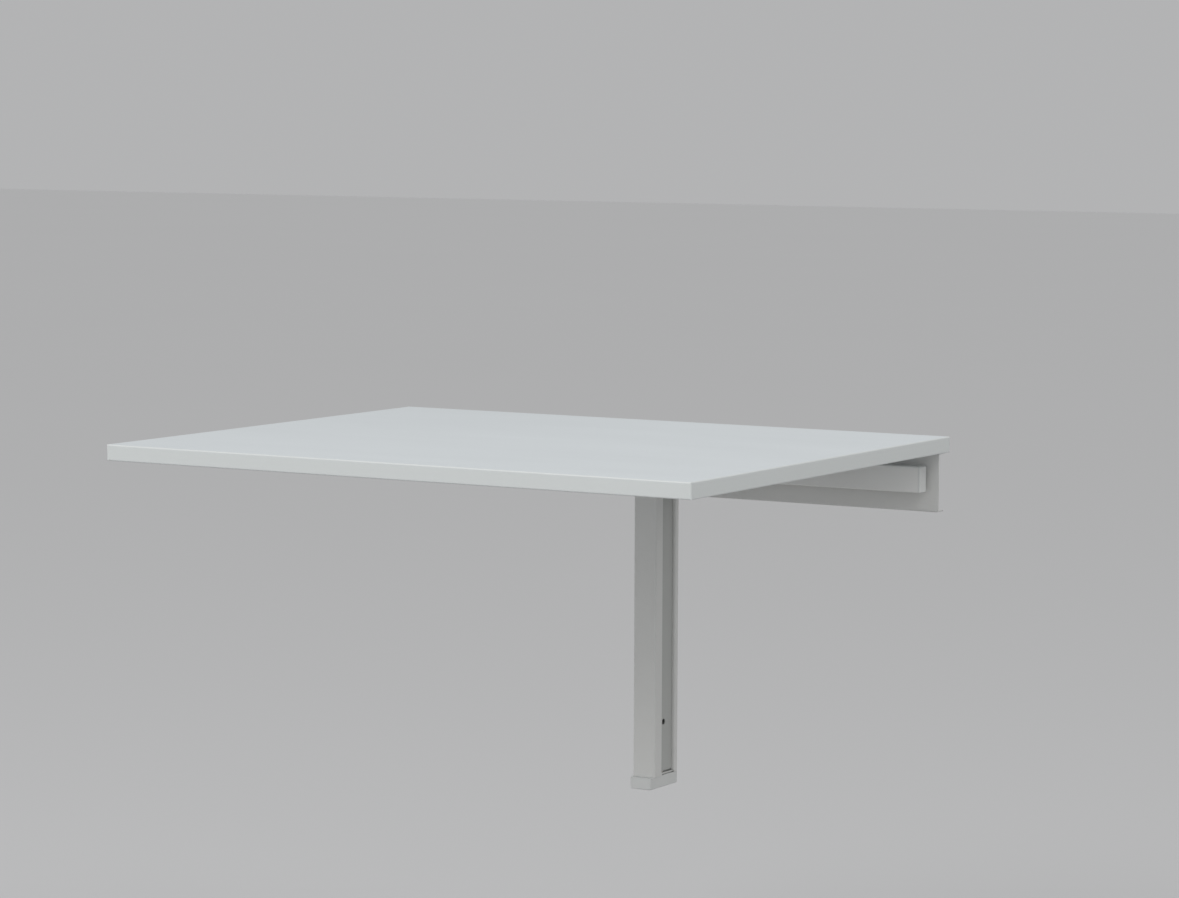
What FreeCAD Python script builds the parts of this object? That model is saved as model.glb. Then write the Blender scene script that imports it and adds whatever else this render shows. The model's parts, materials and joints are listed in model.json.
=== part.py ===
import FreeCAD, Part
import math
import os
from FreeCAD import Vector

# Wall mounted drop leaf table: a hinged leaf on a steel wall rail, with a gate arm that
# swings out from a vertical post to carry the leaf.
# Frame: X runs along the wall, +Y points into the wall (wall face at y = 0), Z is up.
# The origin lies on the wall face, at mid-height and mid-length of the wall rail.
# The leaf is drawn level and the arm folded flat against the right half of the rail.

# ---------------------------------------------------------------- driving sizes, mm
# Leaf: a foiled board with plastic edge bands.
leaf_width = 740.0
leaf_depth = 600.0
leaf_thickness = 18.0
leaf_corner_radius = 2.0
band_thickness = 2.0
band_round = 1.5
leaf_to_wall = 2.0
leaf_to_rail = 0.5

# Wall rail and post: channels pressed from sheet steel.
sheet = 1.5
bend_inside = 1.0
rail_depth = 15.0
rail_corner_radius = 3.0
rail_short_of_leaf = 8.0
rail_below_bracket = 6.2
post_front_depth = 18.0
post_groove = 29.0
post_rear_depth = 8.5
post_drop = 333.7

# Wall fixings.
wall_hole_radius = 3.25
wall_hole_from_rail_end = 62.0
inner_wall_hole_x = 110.0
spacer_width = 14.0
foot_hole_radius = 2.25
foot_hole_x = 6.0
foot_hole_above_tab_end = 4.0
foot_tab_corner = 3.0
foot_tab_gap = 1.0

# Gate arm and its pivot tube.
arm_height = 30.0
arm_wall = 1.5
arm_corner_inside = 0.5
arm_cope_start = 3.0
arm_short_of_rail = 13.0
arm_depth = 16.0
pivot_tube_wall = 1.5
pivot_tube_to_post = 1.5
running_clearance = 0.05
fixed_clearance = 0.02
turning_gap = 0.3

# Brackets that tie the post together, and the bushes in them.
bracket_sheet = 2.5
bracket_bend_inside = 0.25
head_bracket_height = 14.5
head_ear_width = 23.0
head_ear_drop = 3.5
foot_bracket_height = 14.0
arm_to_head_bracket = 2.5
upper_bush_wall = 1.45
upper_bush_length = 12.0
lower_bush_wall = 1.95
lower_bush_length = 6.0
lower_bush_rim = 2.5
lower_bush_flange = 1.5

# Lower pivot pin.
journal_radius = 5.0
journal_below_bush = 3.0
pin_shoulder = 2.0
pin_screw_bite = 4.0
pin_above_screw = 6.5
pin_screw_height = 56.9
access_hole_radius = 3.5

# Post cap.
cap_inset = 1.0
cap_overhang = 8.0
cap_height = 14.0
cap_wall = 2.0
cap_corner_radius = 2.0
cap_chamfer = 1.0
cap_to_wall = 0.5
cap_leg_width = 10.0
cap_leg_thickness = 2.0
cap_leg_barb = 0.8
cap_leg_tip = 3.0
cap_leg_play = 0.1

# Hinges.
hinge_from_rail_end = 122.0
hinge_below_leaf = 8.5
hinge_pin_radius = 2.5
hinge_pin_past_cheek = 1.0
hinge_sheet = 2.0
hinge_cheek = 2.5
hinge_opening = 43.0
hinge_nose_wall = 3.0
hinge_plate_to_leaf = 1.5
hinge_to_arm = 1.3
hinge_strap_reach = 60.0
hinge_strap_corner = 4.0
hinge_joggle_start = 8.0
hinge_joggle_run = 6.0
hinge_screw_side = 13.0
hinge_screw_row = 44.0

# Arm rest under the leaf.
rest_from_arm_end = 27.0
rest_length = 36.0
rest_width = 24.0
rest_foot_width = 60.0
rest_foot_height = 3.0
rest_foot_corner = 5.0
rest_ramp = 4.0
rest_to_arm = 0.5
rest_to_post = 2.2
rest_screw_side = 21.0

# Plastic plugs.
plug_flange = 3.0
plug_chamfer = 1.0
plug_wall = 1.6
plug_depth = 14.0

# Screws.
screw_radius = 1.9
wood_screw_bite = 14.0
screw_head_radius = 3.8
screw_head_height = 2.2
pin_screw_radius = 2.5

# ---------------------------------------------------------------- sizes that follow
X = Vector(1, 0, 0)
Y = Vector(0, 1, 0)
Z = Vector(0, 0, 1)

bend_radius = sheet + bend_inside
bracket_bend = bracket_sheet + bracket_bend_inside

# The rail is just tall enough for what is stacked in front of it below the leaf: the hinge,
# the folded arm, and the bracket that carries the upper bush.
hinge_nose_radius = hinge_pin_radius + hinge_nose_wall
leaf_to_arm = hinge_below_leaf + hinge_nose_radius + hinge_to_arm
leaf_to_bracket = leaf_to_arm + arm_height + arm_to_head_bracket
rail_height = leaf_to_bracket + head_bracket_height + rail_below_bracket - leaf_to_rail
rail_length = leaf_width - 2 * rail_short_of_leaf
rail_top = rail_height / 2
rail_bottom = -rail_height / 2

leaf_under = rail_top + leaf_to_rail
leaf_top = leaf_under + leaf_thickness
leaf_rear = -leaf_to_wall
leaf_front = leaf_rear - leaf_depth

wall_hole_x = rail_length / 2 - wall_hole_from_rail_end
wall_hole_xs = (-wall_hole_x, -inner_wall_hole_x, inner_wall_hole_x, wall_hole_x)

post_bottom = rail_bottom - post_drop
post_depth = post_front_depth + post_groove + post_rear_depth
post_front_inside = -(post_depth - sheet)
pivot_y = -post_depth / 2

# The pivot tube is as deep as the arm. The post's grooved sides pass it with a gap, and pass
# inside the flanges of the brackets that tie the post together.
tube_radius = arm_depth / 2
tube_bore = tube_radius - pivot_tube_wall
groove_inside = tube_radius + pivot_tube_to_post
groove_outside = groove_inside + sheet
post_inside = groove_outside + bracket_sheet
post_width = 2 * (post_inside + sheet)
groove_front = -(post_depth - post_front_depth)
groove_rear = -post_rear_depth

arm_corner_radius = arm_wall + arm_corner_inside
arm_top = leaf_under - leaf_to_arm
arm_bottom = arm_top - arm_height
arm_reach = rail_length / 2 - arm_short_of_rail

head_top = leaf_under - leaf_to_bracket
head_bottom = head_top - head_bracket_height
head_ear_outer = post_inside + head_ear_width

upper_bush_radius = tube_radius + running_clearance + upper_bush_wall

foot_top = post_bottom + bracket_sheet
lower_bush_radius = journal_radius + running_clearance + lower_bush_wall
lower_bush_top = foot_top + lower_bush_flange
lower_bush_bottom = foot_top - lower_bush_length
pin_shoulder_bottom = lower_bush_top + turning_gap
tube_bottom = pin_shoulder_bottom + pin_shoulder
pin_bottom = lower_bush_bottom - journal_below_bush
pin_screw_z = tube_bottom + pin_screw_height
pin_screw_tip = tube_bore - pin_screw_bite

cap_bottom = post_bottom - cap_height
cap_half = post_width / 2 - cap_inset
cap_front = -(post_depth + cap_overhang)
cap_floor = cap_bottom + cap_wall
foot_tab_bottom = cap_floor + foot_tab_gap
cap_leg_from_face = (post_front_depth + sheet) / 2

rest_height = leaf_to_arm - rest_to_arm
rest_bottom = leaf_under - rest_height
rest_y = pivot_y - (arm_reach - rest_from_arm_end)

# The hinge stands so far out that the arm rest clears the post when the leaf hangs down.
hinge_x = rail_length / 2 - hinge_from_rail_end
hinge_y = -(post_depth + rest_to_post + rest_height - hinge_below_leaf)
hinge_z = leaf_under - hinge_below_leaf
hinge_plate_front = -(rail_depth + hinge_cheek)
hinge_plate_top = leaf_under - hinge_plate_to_leaf
hinge_plate_bottom = hinge_z - hinge_nose_radius
hinge_bracket_half = hinge_opening / 2 + hinge_cheek
eye_bore = hinge_pin_radius + running_clearance
eye_radius = eye_bore + hinge_sheet
eye_length = hinge_opening - 2 * turning_gap


# ---------------------------------------------------------------- shape helpers
def box(x0, x1, y0, y1, z0, z1):
    """Box between two corners."""
    return Part.makeBox(x1 - x0, y1 - y0, z1 - z0, Vector(x0, y0, z0))


def rod(radius, start, end):
    """Round rod from one point to another."""
    return Part.makeCylinder(radius, (end - start).Length, start, end - start)


def profile(corners, place):
    """Flat face through corners (a, b, radius), each rounded to its radius.

    place(a, b) puts a corner in space.
    """
    count = len(corners)
    flat = [Vector(a, b, 0) for a, b, radius in corners]
    entries = []
    exits = []
    middles = []
    for i in range(count):
        radius = corners[i][2]
        here = flat[i]
        back = (flat[i - 1] - here).normalize()
        ahead = (flat[(i + 1) % count] - here).normalize()
        half = back.getAngle(ahead) / 2
        run = radius / math.tan(half) if radius else 0.0
        entries.append(here + back * run)
        exits.append(here + ahead * run)
        inward = (back + ahead).normalize() if radius else back
        middles.append(here + inward * (radius / math.sin(half) - radius))
    edges = []
    for i in range(count):
        if corners[i][2]:
            arc = [place(p.x, p.y) for p in (entries[i], middles[i], exits[i])]
            edges.append(Part.Arc(*arc).toShape())
        following = entries[(i + 1) % count]
        if exits[i].distanceToPoint(following) > 1e-6:
            line = [place(p.x, p.y) for p in (exits[i], following)]
            edges.append(Part.makeLine(*line))
    return Part.Face(Part.Wire(edges))


def rectangle(a0, a1, b0, b1, radius):
    """Corner list of a rectangle with equal corner radii."""
    return [(a0, b0, radius), (a1, b0, radius), (a1, b1, radius), (a0, b1, radius)]


def channel(width, depth, thickness, bend):
    """Corner list of a pressed C section: web on b = 0, flanges up to b = depth."""
    half = width / 2
    inner = half - thickness
    inner_bend = bend - thickness
    return [
        (-half, depth, 0),
        (-half, 0, bend),
        (half, 0, bend),
        (half, depth, 0),
        (inner, depth, 0),
        (inner, thickness, inner_bend),
        (-inner, thickness, inner_bend),
        (-inner, depth, 0),
    ]


def lipped(width, depth, thickness, bend, reach):
    """Corner list of a C section whose flanges turn inwards, to reach from its middle."""
    half = width / 2
    inner = half - thickness
    inner_bend = bend - thickness
    lip = depth - thickness
    return [
        (-reach, depth, 0),
        (-half, depth, bend),
        (-half, 0, bend),
        (half, 0, bend),
        (half, depth, bend),
        (reach, depth, 0),
        (reach, lip, 0),
        (inner, lip, inner_bend),
        (inner, thickness, inner_bend),
        (-inner, thickness, inner_bend),
        (-inner, lip, inner_bend),
        (-reach, lip, 0),
    ]


def stepped(width, depth, thickness, bend, reach, end):
    """Corner list of a C section whose flanges step inwards and run on to b = end."""
    half = width / 2
    inner = half - thickness
    inner_bend = bend - thickness
    lip = depth - thickness
    inside = reach - thickness
    return [
        (-reach, end, 0),
        (-reach, depth, inner_bend),
        (-half, depth, bend),
        (-half, 0, bend),
        (half, 0, bend),
        (half, depth, bend),
        (reach, depth, inner_bend),
        (reach, end, 0),
        (inside, end, 0),
        (inside, lip, bend),
        (inner, lip, inner_bend),
        (inner, thickness, inner_bend),
        (-inner, thickness, inner_bend),
        (-inner, lip, inner_bend),
        (-inside, lip, bend),
        (-inside, end, 0),
    ]


def turned(outline, centre):
    """Solid of revolution about the vertical through centre, from (radius, height) points."""
    points = [centre + X * radius + Z * height for radius, height in outline]
    face = Part.Face(Part.makePolygon(points + points[:1]))
    return face.revolve(centre, Z, 360)


def screw(seat, outward, bite):
    """Screw whose head sits on seat and faces outward."""
    head = rod(screw_head_radius, seat, seat + outward * screw_head_height)
    return head.fuse(rod(screw_radius, seat - outward * bite, seat))


# ---------------------------------------------------------------- leaf
def hinge_screw_seats(side):
    """Where the two screws sit under one hinge strap."""
    y = hinge_y - hinge_screw_row
    under = leaf_under - hinge_sheet
    offsets = (-hinge_screw_side, hinge_screw_side)
    return [Vector(side * hinge_x + dx, y, under) for dx in offsets]


def rest_screw_seats():
    under = leaf_under - rest_foot_height
    return [Vector(side * rest_screw_side, rest_y, under) for side in (-1, 1)]


def board_screws(seats):
    """Screws driven up into the board."""
    return Part.makeCompound([screw(seat, -Z, wood_screw_bite) for seat in seats])


def table_board():
    """Board between the edge bands; the screws cut their own thread in it."""
    half = leaf_width / 2 - band_thickness
    front = leaf_front + band_thickness
    rear = leaf_rear - band_thickness
    return box(-half, half, front, rear, leaf_under, leaf_top)


def edge_band(length, place):
    """Band of the given length with its two outer edges rounded."""
    section = [
        (0, leaf_under, band_round),
        (0, leaf_top, band_round),
        (band_thickness, leaf_top, 0),
        (band_thickness, leaf_under, 0),
    ]
    along = place(0, 0, 1) - place(0, 0, 0)
    return profile(section, lambda a, z: place(a, z, 0)).extrude(along * length)


def edge_bands():
    """Front and rear bands run the full width; the side bands fit between them."""
    half = leaf_width / 2
    side_start = leaf_front + band_thickness
    side_length = leaf_depth - 2 * band_thickness
    plan = rectangle(-half, half, leaf_front, leaf_rear, leaf_corner_radius)
    rounded = profile(plan, lambda x, y: Vector(x, y, leaf_under)).extrude(Z * leaf_thickness)
    bands = {
        "edge_band_front": edge_band(
            leaf_width, lambda a, z, s: Vector(-half + s, leaf_front + a, z)
        ),
        "edge_band_rear": edge_band(
            leaf_width, lambda a, z, s: Vector(-half + s, leaf_rear - a, z)
        ),
        "edge_band_left": edge_band(
            side_length, lambda a, z, s: Vector(-half + a, side_start + s, z)
        ),
        "edge_band_right": edge_band(
            side_length, lambda a, z, s: Vector(half - a, side_start + s, z)
        ),
    }
    return {name: band.common(rounded) for name, band in bands.items()}


def hinge_leaf(side):
    """Strap under the board, stepped down and rolled into an eye round the hinge pin."""
    step_y = hinge_y - hinge_joggle_start
    level_y = step_y - hinge_joggle_run
    end_y = hinge_y - hinge_strap_reach
    plate_under = leaf_under - hinge_sheet
    strap_top = hinge_z + eye_radius
    strap_under = strap_top - hinge_sheet
    slope = math.atan((leaf_under - strap_top) / hinge_joggle_run)
    shift = hinge_sheet * math.tan(slope / 2)
    outer_bend = hinge_sheet
    inner_bend = hinge_sheet / 2
    outline = [
        (end_y, leaf_under, 0),
        (level_y, leaf_under, outer_bend),
        (step_y, strap_top, inner_bend),
        (hinge_y + eye_radius, strap_top, eye_radius),
        (hinge_y + eye_radius, hinge_z - eye_radius, eye_radius),
        (hinge_y - eye_radius, hinge_z - eye_radius, eye_radius),
        (hinge_y - eye_radius, strap_under, 0),
        (step_y - shift, strap_under, outer_bend),
        (level_y - shift, plate_under, inner_bend),
        (end_y, plate_under, 0),
    ]
    start = Vector(side * hinge_x - eye_length / 2, hinge_y, hinge_z)
    end = start + X * eye_length
    strap = profile(outline, lambda y, z: Vector(start.x, y, z)).extrude(X * eye_length)
    strap = strap.cut(rod(eye_bore, start, end))
    plan = [
        (start.x, end_y, hinge_strap_corner),
        (start.x, hinge_y + eye_radius, 0),
        (end.x, hinge_y + eye_radius, 0),
        (end.x, end_y, hinge_strap_corner),
    ]
    low = hinge_z - eye_radius
    blank = profile(plan, lambda x, y: Vector(x, y, low)).extrude(Z * (leaf_under - low))
    strap = strap.common(blank)
    for seat in hinge_screw_seats(side):
        strap = strap.cut(rod(screw_radius, seat, seat + Z * hinge_sheet))
    return strap


def arm_rest():
    """Moulded block that the swung-out arm slides under, with a ramp on each side."""
    half = rest_width / 2
    foot = rest_foot_width / 2
    foot_under = leaf_under - rest_foot_height
    outline = [
        (-foot, leaf_under, 0),
        (-foot, foot_under, 0),
        (-half, foot_under, 0),
        (-half, rest_bottom + rest_ramp, rest_ramp / 2),
        (-half + rest_ramp, rest_bottom, rest_ramp / 2),
        (half - rest_ramp, rest_bottom, rest_ramp / 2),
        (half, rest_bottom + rest_ramp, rest_ramp / 2),
        (half, foot_under, 0),
        (foot, foot_under, 0),
        (foot, leaf_under, 0),
    ]
    start = rest_y - rest_length / 2
    end = rest_y + rest_length / 2
    block = profile(outline, lambda x, z: Vector(x, start, z)).extrude(Y * rest_length)
    plan = rectangle(-foot, foot, start, end, rest_foot_corner)
    blank = profile(plan, lambda x, y: Vector(x, y, rest_bottom)).extrude(Z * rest_height)
    block = block.common(blank)
    for seat in rest_screw_seats():
        block = block.cut(rod(screw_radius, seat, seat + Z * rest_foot_height))
    return block


# ---------------------------------------------------------------- wall frame
def wall_rail():
    """Channel with its web to the front and its flanges against the wall."""
    half = rail_length / 2
    front = Vector(0, -rail_depth, 0)
    section = channel(rail_height, rail_depth, sheet, bend_radius)
    start = front - X * half
    rail = profile(section, lambda a, b: start + Z * a + Y * b).extrude(X * rail_length)
    plan = rectangle(-half, half, rail_bottom, rail_top, rail_corner_radius)
    blank = profile(plan, lambda x, z: front + X * x + Z * z).extrude(Y * rail_depth)
    rail = rail.common(blank)
    for x in wall_hole_xs:
        rail = rail.cut(rod(wall_hole_radius, front + X * x, X * x))
    return rail


def wall_spacers():
    """Blocks between the rail's web and the wall, one round each wall hole."""
    half = spacer_width / 2
    inside = sheet - rail_depth
    blocks = []
    for x in wall_hole_xs:
        block = box(x - half, x + half, inside, 0, -half, half)
        blocks.append(block.cut(rod(wall_hole_radius, Vector(x, inside, 0), X * x)))
    return Part.makeCompound(blocks)


def post_rear_channel():
    """Channel on the wall, lipped above the foot bracket, with a tab for the two foot screws."""
    plain = channel(post_width, post_rear_depth, sheet, bend_radius)
    with_lips = lipped(post_width, post_rear_depth, sheet, bend_radius, groove_outside)
    foot = profile(plain, lambda a, b: Vector(a, -b, post_bottom))
    post = profile(with_lips, lambda a, b: Vector(a, -b, foot_top))
    post = post.extrude(Z * (rail_bottom - foot_top)).fuse(foot.extrude(Z * bracket_sheet))
    half = cap_half - cap_wall - foot_tab_gap
    outline = [
        (-half, post_bottom, 0),
        (-half, foot_tab_bottom, foot_tab_corner),
        (half, foot_tab_bottom, foot_tab_corner),
        (half, post_bottom, 0),
    ]
    tab = profile(outline, lambda x, z: Vector(x, -sheet, z)).extrude(Y * sheet)
    post = post.fuse(tab).removeSplitter()
    for x in (-foot_hole_x, foot_hole_x):
        centre = Vector(x, 0, foot_tab_bottom + foot_hole_above_tab_end)
        post = post.cut(rod(foot_hole_radius, centre - Y * sheet, centre))
    return post


def post_front_channel():
    """Channel with its web to the front; below the rail its sides step in and close the post."""
    plain = channel(post_width, post_front_depth, sheet, bend_radius)
    with_sides = stepped(
        post_width, post_front_depth, sheet, bend_radius, groove_outside, post_depth - sheet
    )
    post = None
    for section, low, high in (
        (plain, post_bottom, lower_bush_top),
        (with_sides, lower_bush_top, rail_bottom),
        (plain, rail_bottom, head_top),
    ):
        face = profile(section, lambda a, b: Vector(a, b - post_depth, low))
        length = face.extrude(Z * (high - low))
        post = post.fuse(length) if post else length
    post = post.removeSplitter()
    hole = Vector(groove_inside, pivot_y, pin_screw_z)
    return post.cut(rod(access_hole_radius, hole, hole + X * sheet))


def bracket_in_post(height, rear, place):
    """Pressed U between the insides of the post channels, from the front web to rear.

    place(x, y, h) puts a point at height h above the U's web in space.
    """
    section = channel(2 * post_inside, height, bracket_sheet, bracket_bend)
    run = rear - post_front_inside
    face = profile(section, lambda a, b: place(a, post_front_inside, b))
    bracket = face.extrude(Y * run)
    cut = bend_radius - sheet
    half = post_inside
    plan = [
        (-half, post_front_inside + cut, 0),
        (-half + cut, post_front_inside, 0),
        (half - cut, post_front_inside, 0),
        (half, post_front_inside + cut, 0),
        (half, rear - cut, 0),
        (half - cut, rear, 0),
        (-half + cut, rear, 0),
        (-half, rear - cut, 0),
    ]
    up = place(0, 0, height) - place(0, 0, 0)
    blank = profile(plan, lambda x, y: place(x, y, 0)).extrude(up)
    return bracket.common(blank)


def head_bracket():
    """Bracket between rail and post head: a bush seat, two cheeks and two welded ears."""
    bracket = bracket_in_post(
        head_bracket_height, -rail_depth, lambda x, y, h: Vector(x, y, head_top - h)
    )
    ear_front = -(rail_depth + bracket_sheet)
    ear_height = head_bracket_height - head_ear_drop
    for side in (-1, 1):
        outline = [
            (side * (post_inside - bracket_sheet), ear_front - bracket_sheet, 0),
            (side * post_inside, ear_front - bracket_sheet, 0),
            (side * post_inside, ear_front, 0),
            (side * head_ear_outer, ear_front, 0),
            (side * head_ear_outer, -rail_depth, 0),
            (side * (post_inside - bracket_sheet), -rail_depth, bracket_bend),
        ]
        face = profile(outline, lambda x, y: Vector(x, y, head_bottom))
        bracket = bracket.fuse(face.extrude(Z * ear_height))
    bracket = bracket.removeSplitter()
    seat = Vector(0, pivot_y, head_top)
    return bracket.cut(rod(upper_bush_radius, seat - Z * upper_bush_length, seat))


def foot_bracket():
    """Plate that joins both channels at the foot, with tabs turned up inside them."""
    bracket = bracket_in_post(
        foot_bracket_height, -sheet, lambda x, y, h: Vector(x, y, post_bottom + h)
    )
    front = groove_front - bend_radius
    rear = groove_rear + bend_radius
    top = post_bottom + foot_bracket_height
    bracket = bracket.cut(box(-post_inside, post_inside, front, rear, foot_top, top))
    seat = Vector(0, pivot_y, post_bottom)
    bracket = bracket.cut(rod(lower_bush_radius, seat, seat + Z * bracket_sheet))
    half = cap_leg_width / 2 + fixed_clearance
    thick = cap_leg_thickness / 2 + fixed_clearance
    for y in (-cap_leg_from_face, cap_leg_from_face - post_depth):
        slot = box(-half, half, y - thick, y + thick, post_bottom, foot_top)
        bracket = bracket.cut(slot)
    return bracket


def upper_bush():
    """Plain bush pressed into the head bracket, round the pivot tube."""
    top = Vector(0, pivot_y, head_top)
    bottom = top - Z * upper_bush_length
    bore = rod(tube_radius + running_clearance, bottom, top)
    return rod(upper_bush_radius, bottom, top).cut(bore)


def lower_bush():
    """Flanged bush in the foot bracket; the pin's shoulder turns on its flange."""
    bore = journal_radius + running_clearance
    rim = lower_bush_radius + lower_bush_rim
    outline = [
        (bore, lower_bush_bottom),
        (lower_bush_radius, lower_bush_bottom),
        (lower_bush_radius, foot_top),
        (rim, foot_top),
        (rim, lower_bush_top),
        (bore, lower_bush_top),
    ]
    return turned(outline, Vector(0, pivot_y, 0))


def cap_leg(y, outward):
    """Spring leg from the cap's floor through the foot bracket, its barb facing outward."""
    half = cap_leg_thickness / 2
    catch = foot_top + cap_leg_play
    tip = catch + cap_leg_tip
    outline = [
        (-half, cap_bottom + cap_chamfer),
        (half, cap_bottom + cap_chamfer),
        (half, catch),
        (half + cap_leg_barb, catch),
        (half - cap_leg_barb, tip),
        (-half, tip),
    ]
    start = Vector(-cap_leg_width / 2, y, 0)
    points = [start + Y * outward * a + Z * height for a, height in outline]
    return Part.Face(Part.makePolygon(points + points[:1])).extrude(X * cap_leg_width)


def post_cap():
    """Moulded tray under the post, open to the wall, held by a spring leg in each channel."""
    plan = [
        (-cap_half, -cap_to_wall, 0),
        (-cap_half, cap_front, cap_corner_radius),
        (cap_half, cap_front, cap_corner_radius),
        (cap_half, -cap_to_wall, 0),
    ]
    outer = profile(plan, lambda x, y: Vector(x, y, cap_bottom)).extrude(Z * cap_height)
    under_edges = [
        edge
        for edge in outer.Edges
        if edge.BoundBox.ZMax < cap_floor and edge.BoundBox.YMin < -2 * cap_to_wall
    ]
    outer = outer.makeChamfer(cap_chamfer, under_edges)
    inner = cap_half - cap_wall
    tray = box(-inner, inner, -post_depth, 0, cap_floor, post_bottom)
    lip_front = cap_front + cap_wall
    lip_top = post_bottom - cap_wall
    lip = box(-inner, inner, lip_front, -post_depth, cap_floor, lip_top)
    cap = outer.cut(tray.fuse(lip))
    cap = cap.fuse(cap_leg(-cap_leg_from_face, 1))
    cap = cap.fuse(cap_leg(cap_leg_from_face - post_depth, -1))
    return cap.removeSplitter()


# ---------------------------------------------------------------- hinges
def nose_tangent():
    """Where the bracket's sloping top edge touches the nose round the hinge pin."""
    run = hinge_plate_front - hinge_y
    rise = hinge_plate_top - hinge_z
    angle = math.atan2(rise, run) + math.acos(hinge_nose_radius / math.hypot(run, rise))
    return (
        hinge_y + hinge_nose_radius * math.cos(angle),
        hinge_z + hinge_nose_radius * math.sin(angle),
    )


def hinge_bracket(side):
    """Pressed bracket: a plate welded to the rail's web and two cheeks for the pin."""
    centre_x = side * hinge_x
    left = centre_x - hinge_bracket_half
    right = centre_x + hinge_bracket_half
    outline = [
        (left, hinge_plate_front, 0),
        (left, -rail_depth, hinge_cheek),
        (right, -rail_depth, hinge_cheek),
        (right, hinge_plate_front, 0),
    ]
    plate = profile(outline, lambda x, y: Vector(x, y, hinge_plate_bottom))
    bracket = plate.extrude(Z * (hinge_plate_top - hinge_plate_bottom))
    touch_y, touch_z = nose_tangent()
    for x in (left, right - hinge_cheek):
        rear_top = Vector(x, hinge_plate_front, hinge_plate_top)
        rear_bottom = Vector(x, hinge_plate_front, hinge_plate_bottom)
        nose_bottom = Vector(x, hinge_y, hinge_plate_bottom)
        nose_tip = Vector(x, hinge_y - hinge_nose_radius, hinge_z)
        nose_top = Vector(x, touch_y, touch_z)
        edges = [
            Part.makeLine(rear_top, rear_bottom),
            Part.makeLine(rear_bottom, nose_bottom),
            Part.Arc(nose_bottom, nose_tip, nose_top).toShape(),
            Part.makeLine(nose_top, rear_top),
        ]
        cheek = Part.Face(Part.Wire(edges)).extrude(X * hinge_cheek)
        bracket = bracket.fuse(cheek)
    bracket = bracket.removeSplitter()
    start = Vector(left, hinge_y, hinge_z)
    end = Vector(right, hinge_y, hinge_z)
    return bracket.cut(rod(hinge_pin_radius, start, end))


def hinge_pin(side):
    """Pin pressed through both cheeks, a little longer than the bracket is wide."""
    centre = Vector(side * hinge_x, hinge_y, hinge_z)
    reach = X * (hinge_bracket_half + hinge_pin_past_cheek)
    return rod(hinge_pin_radius, centre - reach, centre + reach)


# ---------------------------------------------------------------- gate arm
def pivot_tube():
    """Round tube inside the post; the arm is welded to its top."""
    bottom = Vector(0, pivot_y, tube_bottom)
    top = Vector(0, pivot_y, arm_top)
    tube = rod(tube_radius, bottom, top).cut(rod(tube_bore, bottom, top))
    axis = Vector(0, pivot_y, pin_screw_z)
    return tube.cut(rod(pin_screw_radius, axis, axis + X * tube_radius))


def pivot_tube_plug():
    """Round plug, pressed flush into the tube's open end."""
    top = Vector(0, pivot_y, arm_top)
    return rod(tube_bore, top - Z * plug_depth, top)


def arm_section(inset, radius, start_x, length):
    """Block along the arm, inset on all sides from the arm's outer surface."""
    half = arm_depth / 2 - inset
    corners = rectangle(
        pivot_y - half, pivot_y + half, arm_bottom + inset, arm_top - inset, radius
    )
    return profile(corners, lambda y, z: Vector(start_x, y, z)).extrude(X * length)


def swing_arm():
    """Rectangular tube, coped to sit round the pivot tube."""
    length = arm_reach - plug_flange - arm_cope_start
    arm = arm_section(0, arm_corner_radius, arm_cope_start, length)
    arm = arm.cut(arm_section(arm_wall, arm_corner_inside, arm_cope_start, length))
    foot = Vector(0, pivot_y, arm_bottom)
    return arm.cut(rod(tube_radius, foot, foot + Z * arm_height))


def arm_end_plug():
    """Plastic plug: a flange over the tube's end and a hollow spigot inside it."""
    start_x = arm_reach - plug_flange
    flange = arm_section(0, arm_corner_radius, start_x, plug_flange)
    rim = [edge for edge in flange.Edges if edge.BoundBox.XMin > start_x + plug_flange / 2]
    flange = flange.makeChamfer(plug_chamfer, rim)
    inset = arm_wall + fixed_clearance
    spigot = arm_section(inset, arm_corner_inside, start_x - plug_depth, plug_depth)
    hollow = arm_section(inset + plug_wall, 0, start_x - plug_depth, plug_depth)
    return flange.fuse(spigot.cut(hollow)).removeSplitter()


def lower_pivot_pin():
    """Stepped pin: its upper part pressed into the tube, its journal in the lower bush."""
    top = pin_screw_z + pin_above_screw
    outline = [
        (0, pin_bottom),
        (journal_radius, pin_bottom),
        (journal_radius, pin_shoulder_bottom),
        (tube_bore, pin_shoulder_bottom),
        (tube_bore, top),
        (0, top),
    ]
    pin = turned(outline, Vector(0, pivot_y, 0))
    tip = Vector(pin_screw_tip, pivot_y, pin_screw_z)
    return pin.cut(rod(pin_screw_radius, tip, tip + X * pin_screw_bite))


def pivot_pin_screw():
    """Grub screw through the tube's wall into the pin, behind the post's access hole."""
    tip = Vector(pin_screw_tip, pivot_y, pin_screw_z)
    mouth = Vector(tube_radius, pivot_y, pin_screw_z)
    return rod(pin_screw_radius, tip, mouth)


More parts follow.
